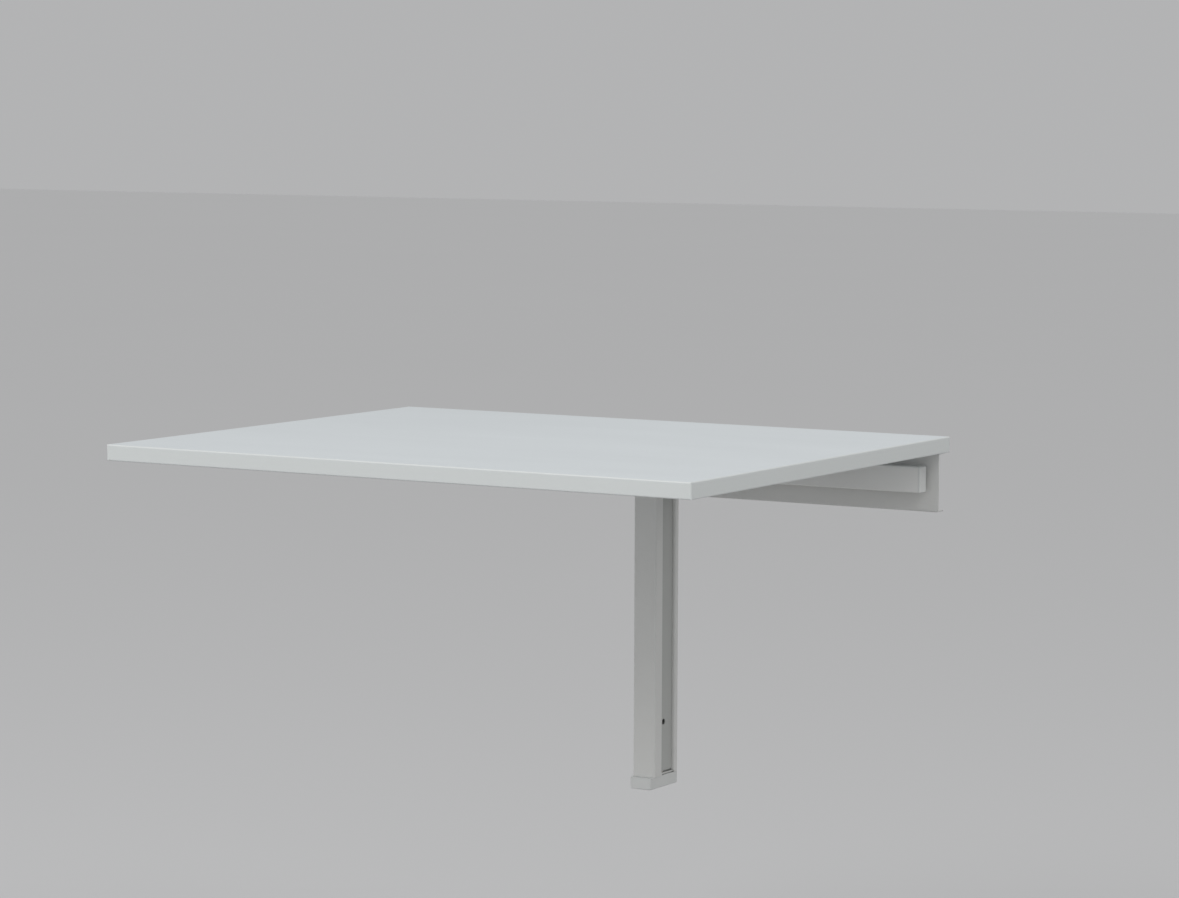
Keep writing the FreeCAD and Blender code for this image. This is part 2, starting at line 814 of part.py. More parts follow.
# ---------------------------------------------------------------- nodes
nodes = {
    "table_board": table_board(),
    **edge_bands(),
    "hinge_leaf_left": hinge_leaf(-1),
    "hinge_leaf_right": hinge_leaf(1),
    "hinge_board_screws": board_screws(hinge_screw_seats(-1) + hinge_screw_seats(1)),
    "arm_rest": arm_rest(),
    "arm_rest_screws": board_screws(rest_screw_seats()),
    "wall_rail": wall_rail(),
    "wall_spacers": wall_spacers(),
    "post_rear_channel": post_rear_channel(),
    "post_front_channel": post_front_channel(),
    "head_bracket": head_bracket(),
    "foot_bracket": foot_bracket(),
    "upper_bush": upper_bush(),
    "lower_bush": lower_bush(),
    "post_cap": post_cap(),
    "hinge_bracket_left": hinge_bracket(-1),
    "hinge_bracket_right": hinge_bracket(1),
    "hinge_pin_left": hinge_pin(-1),
    "hinge_pin_right": hinge_pin(1),
    "pivot_tube": pivot_tube(),
    "pivot_tube_plug": pivot_tube_plug(),
    "swing_arm": swing_arm(),
    "arm_end_plug": arm_end_plug(),
    "lower_pivot_pin": lower_pivot_pin(),
    "pivot_pin_screw": pivot_pin_screw(),
}

os.makedirs("parts", exist_ok=True)
for name, shape in nodes.items():
    shape.exportStep("parts/" + name + ".step")
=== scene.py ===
import json
import math

import bmesh
import bpy
from mathutils import Matrix, Vector

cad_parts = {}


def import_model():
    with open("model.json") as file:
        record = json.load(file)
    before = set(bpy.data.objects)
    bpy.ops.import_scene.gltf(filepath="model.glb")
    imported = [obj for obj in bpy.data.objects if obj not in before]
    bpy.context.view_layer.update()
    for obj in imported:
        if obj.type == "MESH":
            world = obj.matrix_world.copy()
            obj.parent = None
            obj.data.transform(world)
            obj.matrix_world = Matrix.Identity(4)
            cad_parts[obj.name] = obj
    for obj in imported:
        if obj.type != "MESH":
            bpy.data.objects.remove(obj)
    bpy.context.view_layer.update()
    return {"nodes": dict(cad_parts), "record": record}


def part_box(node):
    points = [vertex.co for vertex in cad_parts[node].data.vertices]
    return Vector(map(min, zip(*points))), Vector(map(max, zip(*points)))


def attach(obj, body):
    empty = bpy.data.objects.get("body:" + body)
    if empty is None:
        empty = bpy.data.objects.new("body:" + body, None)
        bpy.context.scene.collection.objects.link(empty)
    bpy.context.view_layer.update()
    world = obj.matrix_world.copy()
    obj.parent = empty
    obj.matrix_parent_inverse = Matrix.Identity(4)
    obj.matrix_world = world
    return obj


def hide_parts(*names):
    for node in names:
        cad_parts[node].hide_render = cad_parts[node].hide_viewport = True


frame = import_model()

# The looks of the wall mounted drop leaf table: materials on the CAD nodes, small pieces in place of
# the plain screws and pins, weld beads, a plain studio and the photograph's camera.
NODES = frame["nodes"]
MM = 0.001

# ---------------------------------------------------------------- photograph
PHOTO_WIDTH = 1179
PHOTO_FOCAL_PIXELS = 3735.0
SENSOR_WIDTH = 36.0
CAMERA_AT = Vector((2.194, -3.8435, 0.4405))
CAMERA_YAW = math.radians(30.94)
CAMERA_DOWN = math.radians(5.45)
CAMERA_ROLL = math.radians(0.22)

# ---------------------------------------------------------------- stage
FLOOR_Z = -0.70
FLOOR_HALF = 30.0
BACKDROP = (0.450, 0.452, 0.457)
FLOOR_SEEN = (0.600, 0.602, 0.608)
FLOOR_BOUNCE = (0.40, 0.40, 0.40)
DOME_FRONT = 0.89
DOME_BACK = 0.50
LAMP_TARGET = Vector((0.0, -0.3, 0.0))


# ---------------------------------------------------------------- node helpers
def set_ranges(map_range, source, target):
    map_range.inputs["From Min"].default_value = source[0]
    map_range.inputs["From Max"].default_value = source[1]
    map_range.inputs["To Min"].default_value = target[0]
    map_range.inputs["To Max"].default_value = target[1]


class Graph:
    """A material's node tree with short calls for the nodes used here."""

    def __init__(self, name):
        self.material = bpy.data.materials.new(name)
        self.material.use_nodes = True
        self.tree = self.material.node_tree
        self.tree.nodes.clear()
        self.output = self.node("ShaderNodeOutputMaterial")
        self.shader = self.node("ShaderNodeBsdfPrincipled")
        self.link(self.shader.outputs["BSDF"], self.output.inputs["Surface"])
        self.place = self.node("ShaderNodeTexCoord").outputs["Object"]

    def node(self, kind, **settings):
        made = self.tree.nodes.new(kind)
        for key, value in settings.items():
            setattr(made, key, value)
        return made

    def link(self, source, target):
        self.tree.links.new(source, target)

    def stretched(self, scale):
        """Object coordinates, in metres, times a scale for each axis."""
        mapping = self.node("ShaderNodeMapping")
        mapping.inputs["Scale"].default_value = scale
        self.link(self.place, mapping.inputs["Vector"])
        return mapping.outputs["Vector"]

    def noise(self, scale, detail=2.0, roughness=0.5, vector=None):
        made = self.node("ShaderNodeTexNoise")
        made.inputs["Scale"].default_value = scale
        made.inputs["Detail"].default_value = detail
        made.inputs["Roughness"].default_value = roughness
        self.link(vector or self.place, made.inputs["Vector"])
        return made.outputs["Fac"]

    def cells(self, scale):
        """Distance to the middle of the nearest cell."""
        made = self.node("ShaderNodeTexVoronoi", feature="F1")
        made.inputs["Scale"].default_value = scale
        self.link(self.place, made.inputs["Vector"])
        return made.outputs["Distance"]

    def span(self, value, source, target):
        """Maps the range source of a value to the range target, clamped."""
        made = self.node("ShaderNodeMapRange", clamp=True)
        set_ranges(made, source, target)
        self.link(value, made.inputs["Value"])
        return made.outputs["Result"]

    def contrast(self, noise, target=(0.0, 1.0)):
        """Spreads the middle of a noise, where nearly all of it lies, over the range target."""
        return self.span(noise, (0.3, 0.7), target)

    def math(self, operation, first, second):
        made = self.node("ShaderNodeMath", operation=operation)
        for socket, value in zip(made.inputs, (first, second)):
            if isinstance(value, (int, float)):
                socket.default_value = value
            else:
                self.link(value, socket)
        return made.outputs["Value"]

    def blend(self, first, first_share, second, second_share):
        """Sum of two values, each times its share."""
        return self.math(
            "ADD",
            self.math("MULTIPLY", first, first_share),
            self.math("MULTIPLY", second, second_share),
        )

    def mix(self, factor, first, second):
        """A colour between two colours; each is a tuple or another colour."""
        made = self.node("ShaderNodeMix", data_type="RGBA")
        self.link(factor, made.inputs["Factor"])
        for name, value in (("A", first), ("B", second)):
            socket = [s for s in made.inputs if s.name == name and s.type == "RGBA"][0]
            if isinstance(value, tuple):
                socket.default_value = (*value, 1.0)
            else:
                self.link(value, socket)
        return [s for s in made.outputs if s.type == "RGBA"][0]

    def bump(self, height, distance, strength, normal=None):
        made = self.node("ShaderNodeBump")
        made.inputs["Strength"].default_value = strength
        made.inputs["Distance"].default_value = distance
        self.link(height, made.inputs["Height"])
        if normal is not None:
            self.link(normal, made.inputs["Normal"])
        return made.outputs["Normal"]

    def soft_edge(self, radius):
        """The small radius that paint or moulding leaves on a sharp edge."""
        made = self.node("ShaderNodeBevel", samples=4)
        made.inputs["Radius"].default_value = radius
        return made.outputs["Normal"]

    def set(self, **values):
        for name, value in values.items():
            socket = self.shader.inputs[name.replace("_", " ")]
            if isinstance(value, bpy.types.NodeSocket):
                self.link(value, socket)
            elif isinstance(value, tuple):
                socket.default_value = (*value, 1.0)
            else:
                socket.default_value = value
        return self.material


def shade(colour, factor):
    return tuple(channel * factor for channel in colour)


# ---------------------------------------------------------------- materials
FOIL_WHITE = (0.698, 0.742, 0.764)
BAND_WHITE = (0.706, 0.736, 0.733)
PAINT_WHITE = (0.706, 0.708, 0.694)
# Lighter white for the arm, pivot tube and their beads: painted light.
ARM_PAINTED_LIGHT_WHITE = (0.790, 0.792, 0.777)
# Darker white for the rail: painted shade under the arm and the leaf.
RAIL_PAINTED_SHADE_WHITE = (0.670, 0.673, 0.660)
# Grey for the post's recessed sides: painted shade.
GROOVE_PAINTED_SHADE = (0.455, 0.465, 0.450)
GROOVE_EDGE = 0.4 * MM
PLASTIC_WHITE = (0.700, 0.712, 0.704)
NYLON_CREAM = (0.68, 0.66, 0.60)
ZINC_BLUE = (0.56, 0.575, 0.60)
ZINC_PALE = (0.66, 0.66, 0.655)
ZINC_STREAK = (0.46, 0.465, 0.475)
BLACK_OXIDE = (0.014, 0.014, 0.015)
BLACK_WORN = (0.034, 0.034, 0.036)


def foil_material():
    """Melamine foil on board: matt, with a fine pressed grain and faint long drifts of tone."""
    g = Graph("leaf_foil")
    drift = g.noise(scale=3.0, vector=g.stretched((1.0, 4.0, 1.0)))
    pores = g.noise(scale=900.0, detail=3.0, roughness=0.6, vector=g.stretched((0.25, 1.0, 1.0)))
    pebble = g.noise(scale=2200.0, roughness=0.6)
    tone = g.mix(g.contrast(drift), shade(FOIL_WHITE, 0.975), shade(FOIL_WHITE, 1.008))
    tone = g.mix(g.span(pores, (0.62, 0.80), (0.0, 0.5)), tone, shade(FOIL_WHITE, 0.94))
    return g.set(
        Base_Color=tone,
        Roughness=g.contrast(pores, (0.40, 0.50)),
        Normal=g.bump(g.blend(pores, 0.6, pebble, 0.4), distance=0.10 * MM, strength=0.6),
    )


def edge_band_material():
    """Extruded edge band: satin, with the faint lines of the scraper along it."""
    g = Graph("edge_band")
    along = g.stretched((0.004, 0.004, 1.0))
    fine = g.noise(scale=1500.0, roughness=0.6)
    lines = g.noise(scale=1600.0, detail=1.0, roughness=0.4, vector=along)
    tone = g.mix(g.contrast(fine), shade(BAND_WHITE, 0.975), shade(BAND_WHITE, 1.005))
    height = g.blend(fine, 0.5, lines, 0.8)
    return g.set(
        Base_Color=tone,
        Roughness=g.contrast(lines, (0.32, 0.42)),
        Normal=g.bump(height, distance=0.04 * MM, strength=0.5, normal=g.soft_edge(0.4 * MM)),
    )


def powder_coat_material(name, colour, groove=None):
    """Powder coat on steel, with orange peel and small pinholes.

    Behind groove, a y in metres, the coat is painted greyer: painted shade on the set-back sides of
    the post.
    """
    g = Graph(name)
    peel = g.noise(scale=420.0, roughness=0.55)
    swell = g.noise(scale=120.0, detail=1.0)
    pits = g.cells(scale=260.0)
    cloud = g.noise(scale=9.0, detail=3.0)
    tone = g.mix(g.contrast(cloud), shade(colour, 0.98), shade(colour, 1.01))
    tone = g.mix(g.span(pits, (0.0, 0.09), (0.35, 0.0)), tone, shade(colour, 0.80))
    # Painted shade: grey laid over the recessed sides of the post, behind the groove's edge.
    if groove is not None:
        split = g.node("ShaderNodeSeparateXYZ")
        g.link(g.place, split.inputs["Vector"])
        groove_shade_mask = g.span(split.outputs["Y"], (groove, groove + GROOVE_EDGE), (0.0, 1.0))
        groove_shade_mask = g.math("MULTIPLY", groove_shade_mask, g.span(cloud, (0.2, 0.8), (0.95, 1.0)))
        tone = g.mix(groove_shade_mask, tone, GROOVE_PAINTED_SHADE)
    height = g.blend(peel, 0.65, swell, 0.35)
    return g.set(
        Base_Color=tone,
        Roughness=g.contrast(peel, (0.30, 0.42)),
        Normal=g.bump(height, distance=0.4 * MM, strength=0.65, normal=g.soft_edge(0.5 * MM)),
    )


def moulded_material(name, colour, grain, rough):
    """Moulded plastic: a spark-eroded grain with faint flow marks."""
    g = Graph(name)
    spark = g.noise(grain, detail=3.0, roughness=0.65)
    flow = g.noise(scale=30.0, vector=g.stretched((1.0, 1.0, 0.35)))
    tone = g.mix(g.contrast(flow), shade(colour, 0.975), shade(colour, 1.01))
    return g.set(
        Base_Color=tone,
        Roughness=g.contrast(spark, (rough - 0.05, rough + 0.06)),
        Normal=g.bump(spark, distance=0.2 * MM, strength=0.7, normal=g.soft_edge(0.5 * MM)),
    )


def zinc_material():
    """Zinc plate on pressed steel: rolled streaks, a crystalline bloom and a faint blue tint."""
    g = Graph("zinc_steel")
    streak = g.noise(scale=700.0, detail=3.0, roughness=0.6, vector=g.stretched((1.0, 0.05, 1.0)))
    bloom = g.noise(scale=55.0, detail=3.0, roughness=0.55)
    tint = g.mix(g.span(bloom, (0.35, 0.65), (0.0, 1.0)), ZINC_BLUE, ZINC_PALE)
    tone = g.mix(g.span(streak, (0.35, 0.75), (0.0, 0.35)), tint, ZINC_STREAK)
    return g.set(
        Base_Color=tone,
        Metallic=1.0,
        Roughness=g.contrast(bloom, (0.30, 0.42)),
        Normal=g.bump(streak, distance=0.08 * MM, strength=0.4, normal=g.soft_edge(0.3 * MM)),
    )


def black_steel_material():
    """Blackened steel with a thin oil film."""
    g = Graph("black_steel")
    grain = g.noise(scale=900.0, detail=3.0, roughness=0.6)
    tone = g.mix(g.span(grain, (0.35, 0.7), (0.0, 1.0)), BLACK_OXIDE, BLACK_WORN)
    return g.set(
        Base_Color=tone,
        Metallic=0.6,
        Roughness=g.contrast(grain, (0.32, 0.46)),
        Normal=g.bump(grain, distance=0.1 * MM, strength=0.4, normal=g.soft_edge(0.2 * MM)),
    )


MATERIALS = {
    "leaf_foil": foil_material(),
    "edge_band": edge_band_material(),
    "powder_coat": powder_coat_material("powder_coat", PAINT_WHITE),
    "white_plastic": moulded_material("white_plastic", PLASTIC_WHITE, grain=1400.0, rough=0.46),
    "natural_nylon": moulded_material("natural_nylon", NYLON_CREAM, grain=900.0, rough=0.40),
    "zinc_steel": zinc_material(),
    "black_steel": black_steel_material(),
}

# The arm's coat is lighter than the frame's: painted light.
ARM_PAINTED_LIGHT_COAT = powder_coat_material("powder_coat_arm_painted_light", ARM_PAINTED_LIGHT_WHITE)
POST_FRONT_DEPTH = 18.0 * MM


def dress_nodes():
    """Puts its slot's material on each CAD node, and coats with painted light and shade on post, arm
    and rail.
    """
    for part in frame["record"]["subparts"]:
        mesh = NODES[part["node"]].data
        mesh.materials.clear()
        mesh.materials.append(MATERIALS[part["material_slot"]])
    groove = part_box("post_front_channel")[0].y + POST_FRONT_DEPTH
    # The post's coat has painted shade in its groove, the arm's is lighter for painted light, and
    # the rail's is darker for painted shade.
    painted_light_and_shade_coats = {
        "post_front_channel": powder_coat_material("powder_coat_post_painted_shade", PAINT_WHITE, groove),
        "swing_arm": ARM_PAINTED_LIGHT_COAT,
        "pivot_tube": ARM_PAINTED_LIGHT_COAT,
        "wall_rail": powder_coat_material("powder_coat_rail_painted_shade", RAIL_PAINTED_SHADE_WHITE),
    }
    for node, coat in painted_light_and_shade_coats.items():
        NODES[node].data.materials[0] = coat


dress_nodes()


# ---------------------------------------------------------------- mesh helpers
# From here on, plain lengths are in millimetres, in a piece's own axes, and skin() turns them into
# metres. Lengths written with "* MM" are in metres, in the frame that the nodes share.
SEGMENTS = 32
NEAR_ZERO = 1e-9
SHARP_ABOVE = math.radians(32.0)


def angles(count):
    return [2 * math.pi * i / count for i in range(count)]


def point(height):
    return Vector((0, 0, height))


def circle(radius, height, count=SEGMENTS):
    """Ring of points round local Z."""
    return [Vector((radius * math.cos(a), radius * math.sin(a), height)) for a in angles(count)]


def shaped(reach, height, count=SEGMENTS):
    """Ring whose radius is reach(angle)."""
    return [
        Vector((reach(a) * math.cos(a), reach(a) * math.sin(a), height)) for a in angles(count)
    ]


def rounded(outer, inner, start, end, steps):
    """Radius and height along a quarter oval, from outer at start in to inner at end."""
    turns = [math.pi / 2 * i / steps for i in range(steps + 1)]
    return [
        (inner + (outer - inner) * math.cos(t), start + (end - start) * math.sin(t)) for t in turns
    ]


def cross_reach(arm, half_width):
    """Outline of a cross, as a radius for each angle."""

    def reach(angle):
        c = max(abs(math.cos(angle)), NEAR_ZERO)
        s = max(abs(math.sin(angle)), NEAR_ZERO)
        return max(min(arm / c, half_width / s), min(half_width / c, arm / s))

    return reach


def hexagon_reach(half_across):
    """Outline of a hexagon, as a radius for each angle."""
    sixth = math.pi / 3

    def reach(angle):
        return half_across / math.cos(angle % sixth - sixth / 2)

    return reach


def skin(bm, rings, place):
    """Skins rings given in millimetres, at place in metres; a ring may be a single point."""
    made = []
    for ring in rings:
        corners = ring if isinstance(ring, list) else [ring]
        made.append([bm.verts.new(place @ (corner * MM)) for corner in corners])
    for one, two in zip(made, made[1:]):
        count = max(len(one), len(two))
        for i in range(count):
            j = (i + 1) % count
            if len(one) == 1:
                bm.faces.new((one[0], two[i], two[j]))
            elif len(two) == 1:
                bm.faces.new((one[i], one[j], two[0]))
            else:
                bm.faces.new((one[i], one[j], two[j], two[i]))


def add_piece(name, bm, body, slot, *nodes):
    """Puts a finished mesh in the scene on its body, with its slot's material."""
    bmesh.ops.recalc_face_normals(bm, faces=bm.faces)
    mesh = bpy.data.meshes.new(name)
    bm.to_mesh(mesh)
    bm.free()
    mesh.polygons.foreach_set("use_smooth", [True] * len(mesh.polygons))
    mesh.set_sharp_from_angle(angle=SHARP_ABOVE)
    mesh.materials.append(MATERIALS[slot])
    piece = bpy.data.objects.new(name, mesh)
    bpy.context.scene.collection.objects.link(piece)
    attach(piece, body)
    if nodes:
        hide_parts(*nodes)
    return piece


def middle(node):
    """Middle of a node's box."""
    low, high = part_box(node)
    return (low + high) / 2


# ---------------------------------------------------------------- wood screws
HEAD_RADIUS = 3.8
HEAD_HEIGHT = 2.2
HEAD_CROWN = 2.12
HEAD_SEAT_RADIUS = 3.3
HEAD_FLAT_RADIUS = 2.3
HEAD_RIM = 0.5
SHANK_RADIUS = 1.9
NECK_RADIUS = 1.75
NECK_TOP = -0.2
NECK_FOOT = -2.2
THREAD_TOP = -2.6
SCREW_BITE = 14.0
SCREW_TAPER = 4.0
THREAD_DEPTH = 0.55
THREAD_PITCH = 1.8
RECESS = (  # arm length, half width and height of each cross-shaped ring
    (1.95, 0.62, 2.16),
    (1.82, 0.52, 2.04),
    (1.05, 0.36, 0.85),
    (0.50, 0.30, 0.55),
)
RECESS_BOTTOM = 0.42
RINGS_PER_PITCH = 4
THINNEST = 0.12
FIRST_TURN = 0.9
TURN_STEP = 2.3
HINGE_SCREW_SIDE = 13.0 * MM
HEAD_DOWN = Matrix.Rotation(math.pi, 4, "X")


def thread_reach(core, ridge, turns):
    """Outline of a thread's cross-section, as a radius for each angle, after so many turns."""

    def reach(angle):
        phase = (turns - angle / (2 * math.pi)) % 1.0
        return core + max(0.0, 1.0 - abs(2 * phase - 1) * 2) * ridge

    return reach


def thread(radius, depth, pitch, start, end, taper):
    """Rings of a screw thread that winds from start to end and gets thinner over the last taper."""
    step = pitch / RINGS_PER_PITCH if end > start else -pitch / RINGS_PER_PITCH
    rings = []
    for i in range(int((end - start) / step) + 1):
        height = start + i * step
        left = min(abs(end - height) / taper, 1.0)
        core = (radius - depth) * max(left, THINNEST)
        rings.append(shaped(thread_reach(core, depth * left, height / pitch), height))
    return rings


def wood_screw(bm, place, turn):
    """Pan head with a cross recess, a plain neck and a thread that ends in a point."""
    place = place @ Matrix.Rotation(turn, 4, "Z")
    wound = thread(
        SHANK_RADIUS,
        THREAD_DEPTH,
        THREAD_PITCH,
        start=THREAD_TOP,
        end=-SCREW_BITE,
        taper=SCREW_TAPER,
    )
    seat = rounded(HEAD_RADIUS, HEAD_SEAT_RADIUS, HEAD_RIM, 0.0, steps=3)[::-1]
    crown = rounded(HEAD_RADIUS, HEAD_FLAT_RADIUS, HEAD_RIM, HEAD_CROWN, steps=7)[1:]
    rings = [point(-SCREW_BITE)] + wound[::-1]
    rings += [circle(NECK_RADIUS, NECK_FOOT), circle(NECK_RADIUS, NECK_TOP)]
    rings += [circle(radius, height) for radius, height in seat + crown]
    rings += [shaped(cross_reach(arm, half), height) for arm, half, height in RECESS]
    rings.append(point(RECESS_BOTTOM))
    skin(bm, rings, place)


def screws(name, node, seats, slot):
    """All the screws of one node, with their recesses turned by differing amounts."""
    bm = bmesh.new()
    for i, (x, y, z) in enumerate(seats):
        place = Matrix.Translation((x, y, z)) @ HEAD_DOWN
        wood_screw(bm, place, FIRST_TURN + TURN_STEP * i)
    return add_piece(name, bm, "leaf", slot, node)


def hinge_screws():
    node = "hinge_board_screws"
    y = middle(node).y
    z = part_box(node)[0].z + HEAD_HEIGHT * MM
    seats = [
        (middle(leaf).x + side * HINGE_SCREW_SIDE, y, z)
        for leaf in ("hinge_leaf_left", "hinge_leaf_right")
        for side in (-1, 1)
    ]
    screws("hinge_pan_head_screws", node, seats, "zinc_steel")


def arm_rest_screws():
    node = "arm_rest_screws"
    low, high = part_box(node)
    x = high.x - HEAD_RADIUS * MM
    z = low.z + HEAD_HEIGHT * MM
    seats = [(side * x, middle(node).y, z) for side in (-1, 1)]
    screws("arm_rest_pan_head_screws", node, seats, "zinc_steel")


hinge_screws()
arm_rest_screws()

# ---------------------------------------------------------------- hinge pins
PIN_END = 1.0
PIN_HEAD_RADIUS = 4.4
PIN_HEAD_RIM = 0.4
PIN_HEAD_RISE = 0.6
PIN_PEENED_RADIUS = 3.75
PIN_PEENED_RIM = 0.1
PIN_PEENED_RISE = 1.08
PIN_DIMPLE_RADIUS = 1.7
PIN_DIMPLE_DEPTH = 0.36
ALONG_X = Matrix.Rotation(math.pi / 2, 4, "Y")


def lying_pin(node):
    """Place of a round node that lies along X, with half its length and its radius in mm."""
    low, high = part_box(node)
    place = Matrix.Translation((low + high) / 2) @ ALONG_X
    return place, (high.x - low.x) / 2 / MM, (high.z - low.z) / 2 / MM


def riveted_pin(name, node):
    """Pin with a domed head at one end and a peened head with a dimple at the other."""
    place, half, radius = lying_pin(node)
    cheek = half - PIN_END
    foot = -half - PIN_HEAD_RISE
    top = cheek + PIN_PEENED_RISE
    pit = top - PIN_DIMPLE_DEPTH
    domed = rounded(PIN_HEAD_RADIUS, 0.0, -cheek - PIN_HEAD_RIM, foot, steps=8)[:-1][::-1]
    shank = [
        (PIN_HEAD_RADIUS, -cheek),
        (radius, -cheek),
        (radius, cheek),
        (PIN_PEENED_RADIUS, cheek),
    ]
    peened = rounded(PIN_PEENED_RADIUS, PIN_DIMPLE_RADIUS, cheek + PIN_PEENED_RIM, top, steps=5)
    dimple = rounded(PIN_DIMPLE_RADIUS, 0.0, top, pit, steps=3)[1:-1]
    rings = [point(foot)]
    rings += [circle(r, h) for r, h in domed + shank + peened + dimple]
    rings.append(point(pit))
    bm = bmesh.new()
    skin(bm, rings, place)
    return add_piece(name, bm, "wall_frame", "zinc_steel", node)


riveted_pin("hinge_riveted_pin_left", "hinge_pin_left")
riveted_pin("hinge_riveted_pin_right", "hinge_pin_right")


# ---------------------------------------------------------------- grub screw
GRUB_PLAY = 0.02
GRUB_THREAD_DEPTH = 0.35
GRUB_THREAD_PITCH = 0.8
GRUB_RUN_OUT = 0.2
GRUB_POINT_RADIUS = 1.3
GRUB_CONE_RADIUS = 1.6
GRUB_CONE = 0.5
GRUB_PLAIN_FOOT = 0.8
GRUB_PLAIN_TOP = 0.5
GRUB_SUNK = 0.7
GRUB_CHAMFER = 0.28
GRUB_END_INSET = 0.6
SOCKET_HALF_ACROSS = 1.18
SOCKET_LEAD_IN = 0.10
SOCKET_DEPTH = 2.2
SOCKET_BOTTOM = 2.7


def grub_screw():
    """Blackened grub screw with a hexagon socket, just below the tube's surface."""
    place, half, radius = lying_pin("pivot_pin_screw")
    mouth = half - GRUB_SUNK
    rings = [
        point(-half),
        circle(GRUB_POINT_RADIUS, -half),
        circle(GRUB_CONE_RADIUS, -half + GRUB_CONE),
    ]
    rings += thread(
        radius - GRUB_PLAY,
        GRUB_THREAD_DEPTH,
        GRUB_THREAD_PITCH,
        start=-half + GRUB_PLAIN_FOOT,
        end=mouth - GRUB_PLAIN_TOP,
        taper=GRUB_RUN_OUT,
    )
    rings += [
        circle(radius - GRUB_THREAD_DEPTH, mouth - GRUB_CHAMFER),
        circle(radius - GRUB_END_INSET, mouth),
        shaped(hexagon_reach(SOCKET_HALF_ACROSS + SOCKET_LEAD_IN), mouth),
        shaped(hexagon_reach(SOCKET_HALF_ACROSS), mouth - SOCKET_LEAD_IN),
        shaped(hexagon_reach(SOCKET_HALF_ACROSS), mouth - SOCKET_DEPTH),
        point(mouth - SOCKET_BOTTOM),
    ]
    bm = bmesh.new()
    skin(bm, rings, place)
    return add_piece("pivot_socket_grub_screw", bm, "gate_arm", "black_steel", "pivot_pin_screw")


grub_screw()

# ---------------------------------------------------------------- weld beads
BEAD_PITCH = 1.5
BEAD_STEPS = 5
BEAD_SIDES = 12
BEAD_END = 1.2
BEAD_VALLEY = 0.86
BEAD_CREST_AT = 0.35
BEAD_LOBE_FALL = 0.5
BEAD_WANDER = ((0.05, 5.3), (0.04, 2.1))
BEAD_PROUD = 0.35 * MM
BRACKET_BEAD_RADIUS = 1.55
BRACKET_BEAD_INSET = 0.5 * MM
BRACKET_BEAD_FOOT = 1.2 * MM
BRACKET_BEAD_TOP = 1.6 * MM
EAR_BEAD_RADIUS = 1.5
EAR_BEAD_OUTSET = 0.2 * MM
EAR_BEAD_END = 0.8 * MM
EAR_HEIGHT = 11.0 * MM
NECK_BEAD_RADIUS = 1.25
NECK_BEAD_X = 2.2 * MM
NECK_BEAD_SUNK = 0.45 * MM
NECK_BEAD_END = 1.5 * MM


def bead(bm, start, end, radius):
    """Weld bead from start to end: overlapping uneven lobes that round off at both ends."""
    run = end - start
    length = run.length / MM
    lobes = max(int(length / BEAD_PITCH), 2)
    count = lobes * BEAD_STEPS
    rings = [point(0)]
    for i in range(1, count):
        along = i / count
        lobe = i % BEAD_STEPS / BEAD_STEPS
        from_end = min(along, 1 - along) * length
        taper = min(1.0, math.sqrt(from_end / (BEAD_END * radius)))
        crest = math.sqrt(1 - (lobe - BEAD_CREST_AT) ** 2 / BEAD_LOBE_FALL)
        swell = BEAD_VALLEY + (1 - BEAD_VALLEY) * crest
        wander = sum(share * math.sin(rate * along * lobes) for share, rate in BEAD_WANDER)
        rings.append(circle(radius * taper * (swell + wander), along * length, BEAD_SIDES))
    rings.append(point(length))
    turn = run.to_track_quat("Z", "X").to_matrix().to_4x4()
    skin(bm, rings, Matrix.Translation(start) @ turn)


def frame_beads():
    """Beads that hold the hinge brackets and the head bracket's ears on the rail."""
    bm = bmesh.new()
    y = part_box("wall_rail")[0].y - BEAD_PROUD
    for node in ("hinge_bracket_left", "hinge_bracket_right"):
        low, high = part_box(node)
        for x in (low.x + BRACKET_BEAD_INSET, high.x - BRACKET_BEAD_INSET):
            foot = Vector((x, y, low.z + BRACKET_BEAD_FOOT))
            top = Vector((x, y, high.z - BRACKET_BEAD_TOP))
            bead(bm, foot, top, BRACKET_BEAD_RADIUS)
    low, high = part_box("head_bracket")
    for x in (low.x - EAR_BEAD_OUTSET, high.x + EAR_BEAD_OUTSET):
        foot = Vector((x, y, low.z + EAR_BEAD_END))
        top = Vector((x, y, low.z + EAR_HEIGHT - EAR_BEAD_END))
        bead(bm, foot, top, EAR_BEAD_RADIUS)
    add_piece("rail_weld_beads", bm, "wall_frame", "powder_coat")


def arm_beads():
    """Beads down both sides of the pivot tube, where the arm is coped round it."""
    bm = bmesh.new()
    low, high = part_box("swing_arm")
    pivot = middle("pivot_tube")
    reach = (high.y - low.y) / 2 - NECK_BEAD_SUNK
    for y in (pivot.y - reach, pivot.y + reach):
        foot = Vector((NECK_BEAD_X, y, low.z + NECK_BEAD_END))
        top = Vector((NECK_BEAD_X, y, high.z - NECK_BEAD_END))
        bead(bm, foot, top, NECK_BEAD_RADIUS)
    piece = add_piece("arm_weld_beads", bm, "gate_arm", "powder_coat")
    # The beads take the arm's lighter coat: painted light.
    piece.data.materials[0] = ARM_PAINTED_LIGHT_COAT


frame_beads()
arm_beads()


# ---------------------------------------------------------------- floor, world, lamps
def ray_is_seen(graph_node, link):
    """1 for rays from the camera and rays in gloss or glass, 0 for the rest."""
    rays = graph_node("ShaderNodeLightPath")
    two = graph_node("ShaderNodeMath", operation="MAXIMUM")
    three = graph_node("ShaderNodeMath", operation="MAXIMUM")
    link(rays.outputs["Is Glossy Ray"], two.inputs[0])
    link(rays.outputs["Is Transmission Ray"], two.inputs[1])
    link(rays.outputs["Is Camera Ray"], three.inputs[0])
    link(two.outputs["Value"], three.inputs[1])
    return three.outputs["Value"]


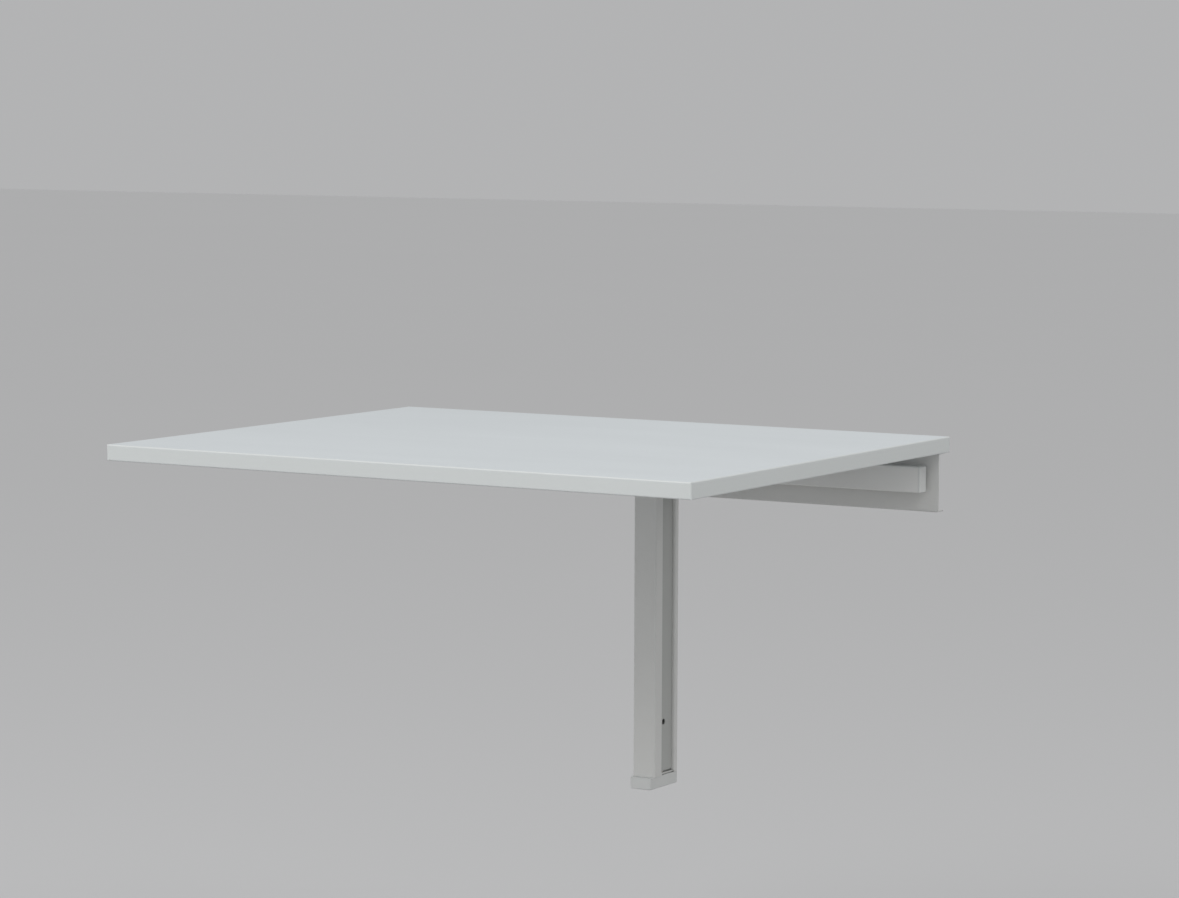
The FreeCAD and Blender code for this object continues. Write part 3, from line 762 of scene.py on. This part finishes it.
def floor():
    """Plain pale floor; it can't be seen from below, and it bounces less light than it shows."""
    mesh = bpy.data.meshes.new("floor")
    square = ((-1, -1), (1, -1), (1, 1), (-1, 1))
    corners = [(x * FLOOR_HALF, y * FLOOR_HALF, FLOOR_Z) for x, y in square]
    mesh.from_pydata(corners, [], [(0, 1, 2, 3)])
    piece = bpy.data.objects.new("floor", mesh)
    bpy.context.scene.collection.objects.link(piece)
    g = Graph("floor")
    cloud = g.noise(scale=0.8)
    tone = g.mix(cloud, shade(FLOOR_SEEN, 0.995), shade(FLOOR_SEEN, 1.005))
    tone = g.mix(ray_is_seen(g.node, g.link), FLOOR_BOUNCE, tone)
    g.set(Base_Color=tone, Roughness=0.9, Specular_IOR_Level=0.0)
    clear = g.node("ShaderNodeBsdfTransparent")
    either = g.node("ShaderNodeMixShader")
    g.link(g.node("ShaderNodeNewGeometry").outputs["Backfacing"], either.inputs["Fac"])
    g.link(g.shader.outputs["BSDF"], either.inputs[1])
    g.link(clear.outputs["BSDF"], either.inputs[2])
    g.link(either.outputs["Shader"], g.output.inputs["Surface"])
    mesh.materials.append(g.material)


def world():
    """Soft dome, brighter from the room than from behind; what is seen is a plain backdrop."""
    made = bpy.data.worlds.new("studio")
    bpy.context.scene.world = made
    made.use_nodes = True
    tree = made.node_tree
    tree.nodes.clear()

    def node(kind, **settings):
        new = tree.nodes.new(kind)
        for key, value in settings.items():
            setattr(new, key, value)
        return new

    output = node("ShaderNodeOutputWorld")
    dome = node("ShaderNodeBackground")
    seen = node("ShaderNodeBackground")
    either = node("ShaderNodeMixShader")
    split = node("ShaderNodeSeparateXYZ")
    fade = node("ShaderNodeMapRange", clamp=True)
    set_ranges(fade, (-1.0, 1.0), (DOME_FRONT, DOME_BACK))
    tree.links.new(node("ShaderNodeTexCoord").outputs["Generated"], split.inputs["Vector"])
    tree.links.new(split.outputs["Y"], fade.inputs["Value"])
    tree.links.new(fade.outputs["Result"], dome.inputs["Strength"])
    dome.inputs["Color"].default_value = (1.0, 1.0, 1.0, 1.0)
    seen.inputs["Color"].default_value = (*BACKDROP, 1.0)
    seen.inputs["Strength"].default_value = 1.0
    tree.links.new(ray_is_seen(node, tree.links.new), either.inputs["Fac"])
    tree.links.new(dome.outputs["Background"], either.inputs[1])
    tree.links.new(seen.outputs["Background"], either.inputs[2])
    tree.links.new(either.outputs["Shader"], output.inputs["Surface"])


def area_lamp(name, place, size, watts):
    """Round soft lamp aimed at the table; the camera doesn't see it."""
    data = bpy.data.lights.new(name, "AREA")
    data.shape = "DISK"
    data.size = size
    data.energy = watts
    lamp = bpy.data.objects.new(name, data)
    bpy.context.scene.collection.objects.link(lamp)
    lamp.location = place
    lamp.visible_camera = False
    lamp.rotation_euler = (LAMP_TARGET - lamp.location).to_track_quat("-Z", "Y").to_euler()


floor()
world()
area_lamp("key", place=(-1.2, -4.4, 3.0), size=2.4, watts=60.0)
area_lamp("window", place=(2.2, -1.0, 2.45), size=1.6, watts=13.5)


# ---------------------------------------------------------------- camera
def camera():
    data = bpy.data.cameras.new("photo")
    data.sensor_fit = "HORIZONTAL"
    data.sensor_width = SENSOR_WIDTH
    data.lens = PHOTO_FOCAL_PIXELS / PHOTO_WIDTH * SENSOR_WIDTH
    data.clip_start = 0.05
    data.clip_end = 100.0
    made = bpy.data.objects.new("photo", data)
    bpy.context.scene.collection.objects.link(made)
    turn = Matrix.Rotation(CAMERA_YAW, 4, "Z") @ Matrix.Rotation(math.pi / 2 - CAMERA_DOWN, 4, "X")
    made.matrix_world = Matrix.Translation(CAMERA_AT) @ turn @ Matrix.Rotation(CAMERA_ROLL, 4, "Z")
    bpy.context.scene.camera = made


camera()
bpy.context.scene.view_settings.view_transform = "Standard"

bpy.context.view_layer.update()
